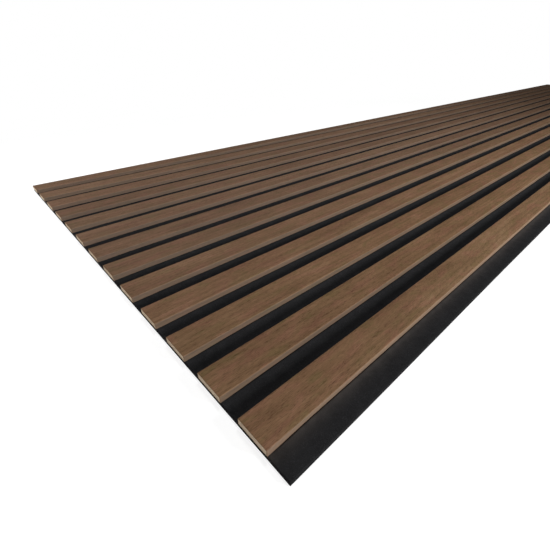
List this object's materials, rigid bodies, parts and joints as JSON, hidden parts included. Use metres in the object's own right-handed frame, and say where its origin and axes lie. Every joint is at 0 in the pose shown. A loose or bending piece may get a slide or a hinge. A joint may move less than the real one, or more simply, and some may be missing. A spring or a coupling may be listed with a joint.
{
  "type": "acoustic slat wall panel",
  "caption": "Long flat wall panel: parallel wood-veneered fibreboard slats with open grooves between them on a thin black felt backing.",
  "frame": {"origin": "middle of the backing's rear face, which lies on the floor or against the wall", "axes": "+X along the slats, +Y across them from the bare strip to the flush edge, +Z out of the decorative face"},
  "size_m": [2.8, 0.6, 0.009],
  "materials": {
    "felt": "matt black needled polyester felt",
    "core": "cut edge of beige fibreboard, matt",
    "veneer": "walnut-brown wood veneer, satin lacquer",
    "staple_wire": "galvanised staple wire"
  },
  "bodies": {
    "root": {"felt_backing": "felt", "slat_core_01": "core", "slat_core_02": "core", "slat_core_03": "core", "slat_core_04": "core", "slat_core_05": "core", "slat_core_06": "core", "slat_core_07": "core", "slat_core_08": "core", "slat_core_09": "core", "slat_core_10": "core", "slat_core_11": "core", "slat_core_12": "core", "slat_core_13": "core", "slat_veneer_01": "veneer", "slat_veneer_02": "veneer", "slat_veneer_03": "veneer", "slat_veneer_04": "veneer", "slat_veneer_05": "veneer", "slat_veneer_06": "veneer", "slat_veneer_07": "veneer", "slat_veneer_08": "veneer", "slat_veneer_09": "veneer", "slat_veneer_10": "veneer", "slat_veneer_11": "veneer", "slat_veneer_12": "veneer", "slat_veneer_13": "veneer", "back_staples": "staple_wire"}
  },
  "joints": []
}
